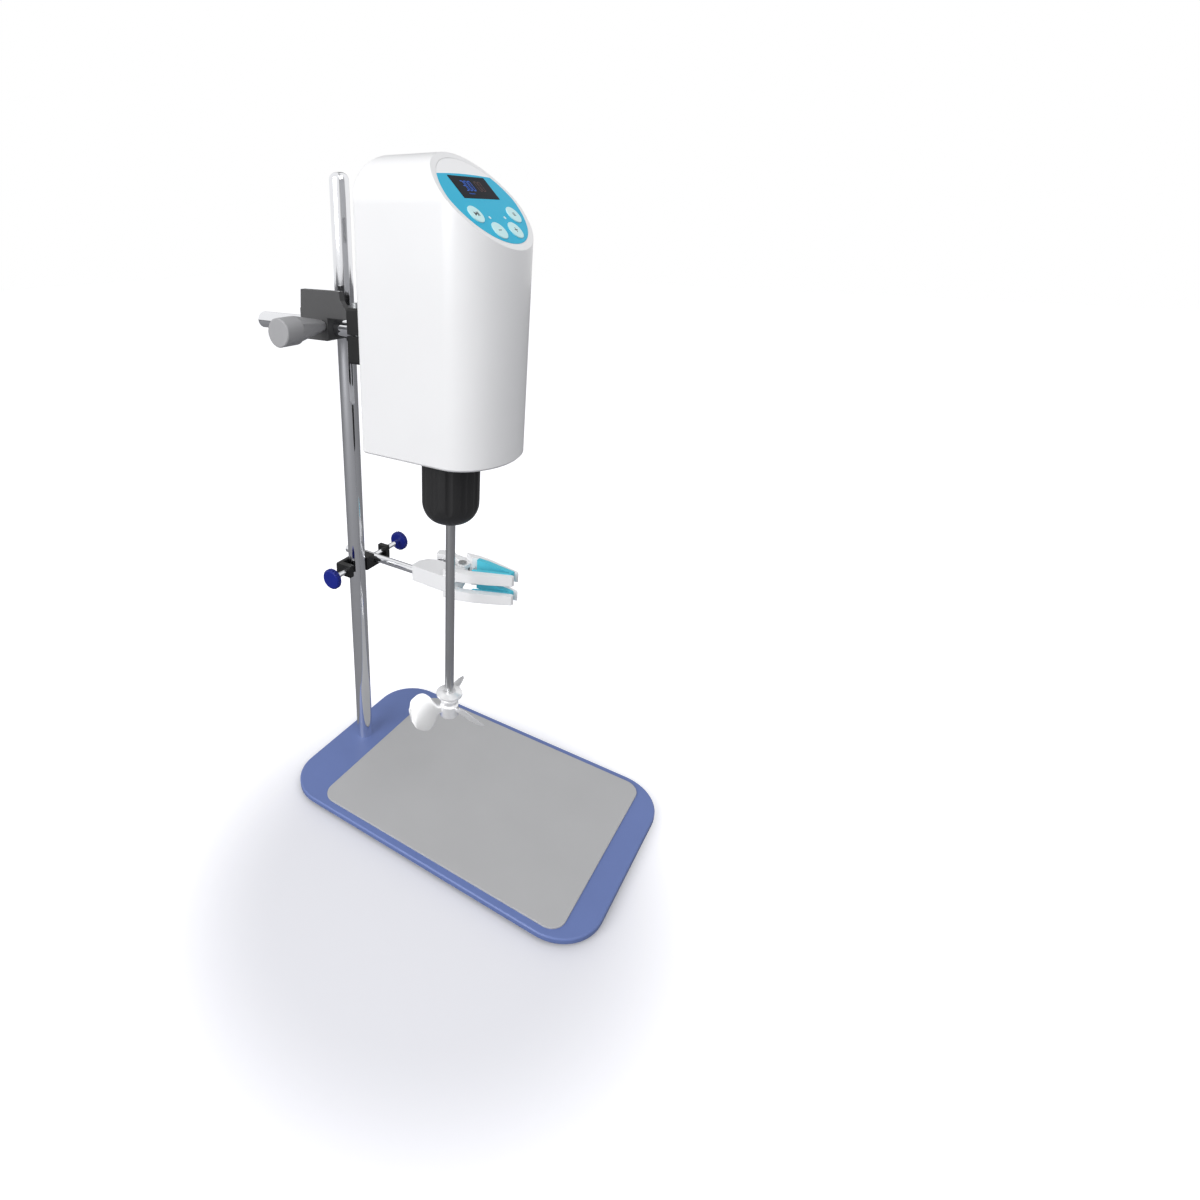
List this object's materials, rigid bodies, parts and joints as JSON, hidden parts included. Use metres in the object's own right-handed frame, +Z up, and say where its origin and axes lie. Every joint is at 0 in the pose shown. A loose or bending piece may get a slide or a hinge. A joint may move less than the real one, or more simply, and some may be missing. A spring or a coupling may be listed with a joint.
{
  "type": "overhead stirrer",
  "caption": "Laboratory overhead stirrer: slanted-panel motor head with chuck and propeller, on a rod stand with a flat base, boss heads and a fingered beaker clamp.",
  "frame": {"origin": "bench plane under the centre of the base plate", "axes": "+Z up, -Y towards the panel side, support rod at the +Y end"},
  "size_m": [0.2, 0.379, 0.5725],
  "materials": {
    "blue_paint": "satin powder coat",
    "grey_mat": "matte",
    "black_rubber": "matte",
    "bright_steel": "polished",
    "plain_steel": "machined",
    "white_shell": "satin",
    "teal_print": "satin print",
    "screen": "gloss",
    "button_white": "satin",
    "board_green": "matte",
    "dark_plastic": "matte",
    "dark_cast": "matte paint",
    "grey_cast": "matte paint",
    "cast_aluminium": "as cast",
    "brass": "machined",
    "blue_plastic": "gloss",
    "clamp_white": "satin",
    "teal_rubber": "matte",
    "motor_black": "satin"
  },
  "bodies": {
    "base": {"base_plate": "blue_paint", "base_mat": "grey_mat", "base_feet": "black_rubber", "foot_screws": "plain_steel", "support_rod": "bright_steel", "rod_bolt": "plain_steel"},
    "head_boss": {"head_boss": "dark_cast"},
    "arm_knob": {"arm_knob": "grey_cast"},
    "rod_knob": {"rod_knob": "grey_cast"},
    "head": {"arm_rod": "bright_steel", "bracket_upper": "dark_plastic", "bracket_lower": "dark_plastic", "pinch_screws": "plain_steel", "housing_shell": "white_shell", "panel_overlay": "teal_print", "display": "screen", "panel_lamps": "button_white", "control_board": "board_green", "button_switches": "dark_plastic", "backing_plate": "plain_steel", "small_screws": "plain_steel", "machine_screws": "plain_steel", "gear_frame": "cast_aluminium", "gear_deck": "cast_aluminium", "bearings": "plain_steel", "motor_can": "motor_black", "power_inlet": "dark_plastic", "inlet_pins": "brass", "switch_frame": "dark_plastic"},
    "button_run": {"button_run": "button_white"},
    "button_down": {"button_down": "button_white"},
    "button_up": {"button_up": "button_white"},
    "button_set": {"button_set": "button_white"},
    "switch_rocker": {"switch_rocker": "dark_plastic"},
    "motor_rotor": {"motor_rotor": "plain_steel", "motor_pinion": "brass"},
    "spindle": {"spindle": "plain_steel", "retaining_ring": "plain_steel", "output_gear": "plain_steel", "chuck_body": "plain_steel"},
    "chuck_sleeve": {"chuck_sleeve": "dark_plastic"},
    "chuck_jaw_1": {"chuck_jaw_1": "plain_steel"},
    "chuck_jaw_2": {"chuck_jaw_2": "plain_steel"},
    "chuck_jaw_3": {"chuck_jaw_3": "plain_steel"},
    "stirring_shaft": {"stirring_shaft": "bright_steel", "impeller": "bright_steel", "impeller_screw": "plain_steel"},
    "clamp_boss": {"clamp_boss": "dark_plastic"},
    "clamp_rod_knob": {"clamp_rod_knob": "blue_plastic", "clamp_rod_screw": "bright_steel"},
    "clamp_arm_knob": {"clamp_arm_knob": "blue_plastic", "clamp_arm_screw": "bright_steel"},
    "clamp": {"clamp_arm": "bright_steel", "clamp_body": "clamp_white", "near_jaw_pads": "teal_rubber", "jaw_pin": "plain_steel"},
    "clamp_jaw": {"clamp_jaw": "clamp_white", "far_jaw_pads": "teal_rubber"},
    "spread_screw": {"spread_screw": "plain_steel"}
  },
  "joints": [
    {"name": "head_lift", "type": "slide", "parent": "base", "child": "head_boss", "axis": [0, 0, 1], "range_m": [-0.08, 0.09]},
    {"name": "arm_knob_turn", "type": "hinge", "parent": "head_boss", "child": "arm_knob", "pos_m": [-0.05, 0.134, 0.449], "axis": [-1, 0, 0], "range_deg": [0, 360]},
    {"name": "rod_knob_turn", "type": "hinge", "parent": "head_boss", "child": "rod_knob", "pos_m": [0.04, 0.138, 0.449], "axis": [1, 0, 0], "range_deg": [0, 360]},
    {"name": "arm_reach", "type": "slide", "parent": "head_boss", "child": "head", "axis": [0, -1, 0], "range_m": [-0.012, 0.05]},
    {"name": "spindle_spin", "type": "hinge", "parent": "head", "child": "spindle", "pos_m": [-0.02, 0.015, 0.38], "axis": [0, 0, 1], "continuous": true},
    {"name": "motor_spin", "type": "hinge", "parent": "head", "child": "motor_rotor", "pos_m": [-0.02, -0.012, 0.4], "axis": [0, 0, 1], "continuous": true},
    {"name": "sleeve_turn", "type": "hinge", "parent": "spindle", "child": "chuck_sleeve", "pos_m": [-0.02, 0.015, 0.33], "axis": [0, 0, 1], "range_deg": [0, 360]},
    {"name": "jaw_1_open", "type": "slide", "parent": "spindle", "child": "chuck_jaw_1", "axis": [0, 0.2588, 0.9659], "range_m": [0, 0.006], "stiffness_N_per_m": 1, "springref_m": 0.0733},
    {"name": "jaw_2_open", "type": "slide", "parent": "spindle", "child": "chuck_jaw_2", "axis": [-0.2241, -0.1294, 0.9659], "range_m": [0, 0.006], "stiffness_N_per_m": 1, "springref_m": 0.0733},
    {"name": "jaw_3_open", "type": "slide", "parent": "spindle", "child": "chuck_jaw_3", "axis": [0.2241, -0.1294, 0.9659], "range_m": [0, 0.006], "stiffness_N_per_m": 1, "springref_m": 0.0733},
    {"name": "shaft_height", "type": "slide", "parent": "spindle", "child": "stirring_shaft", "axis": [0, 0, 1], "range_m": [0, 0.08]},
    {"name": "button_run_press", "type": "slide", "parent": "head", "child": "button_run", "axis": [0, 0.7071, -0.7071], "range_m": [0, 0.0008], "stiffness_N_per_m": 600, "springref_m": -0.0005},
    {"name": "button_down_press", "type": "slide", "parent": "head", "child": "button_down", "axis": [0, 0.7071, -0.7071], "range_m": [0, 0.0008], "stiffness_N_per_m": 600, "springref_m": -0.0005},
    {"name": "button_up_press", "type": "slide", "parent": "head", "child": "button_up", "axis": [0, 0.7071, -0.7071], "range_m": [0, 0.0008], "stiffness_N_per_m": 600, "springref_m": -0.0005},
    {"name": "button_set_press", "type": "slide", "parent": "head", "child": "button_set", "axis": [0, 0.7071, -0.7071], "range_m": [0, 0.0008], "stiffness_N_per_m": 600, "springref_m": -0.0005},
    {"name": "switch_rock", "type": "hinge", "parent": "head", "child": "switch_rocker", "pos_m": [0.002, 0.064, 0.393], "axis": [-1, 0, 0], "range_deg": [0, 20]},
    {"name": "clamp_lift", "type": "slide", "parent": "base", "child": "clamp_boss", "axis": [0, 0, 1], "range_m": [-0.15, 0.1]},
    {"name": "clamp_rod_knob_turn", "type": "hinge", "parent": "clamp_boss", "child": "clamp_rod_knob", "pos_m": [-0.03, 0.138, 0.215], "axis": [-1, 0, 0], "range_deg": [0, 360]},
    {"name": "clamp_arm_knob_turn", "type": "hinge", "parent": "clamp_boss", "child": "clamp_arm_knob", "pos_m": [0.06, 0.138, 0.215], "axis": [1, 0, 0], "range_deg": [0, 360]},
    {"name": "clamp_reach", "type": "slide", "parent": "clamp_boss", "child": "clamp", "axis": [0, -1, 0], "range_m": [-0.03, 0.015]},
    {"name": "spread_turn", "type": "hinge", "parent": "clamp", "child": "spread_screw", "pos_m": [0.06, 0.072, 0.215], "axis": [1, 0, 0], "range_deg": [0, 1080]},
    {"name": "jaw_swing", "type": "hinge", "parent": "clamp", "child": "clamp_jaw", "pos_m": [0.0482, 0.046, 0.215], "axis": [0, 0, 1], "range_deg": [0, 18]}
  ],
  "couplings": [
    {"joint": "motor_spin", "follows": "spindle_spin", "ratio": -2.8571},
    {"joint": "jaw_1_open", "follows": "sleeve_turn", "m_per_rad": 0.00095493},
    {"joint": "jaw_2_open", "follows": "sleeve_turn", "m_per_rad": 0.00095493},
    {"joint": "jaw_3_open", "follows": "sleeve_turn", "m_per_rad": 0.00095493},
    {"joint": "jaw_swing", "follows": "spread_turn", "ratio": 0.016667}
  ]
}
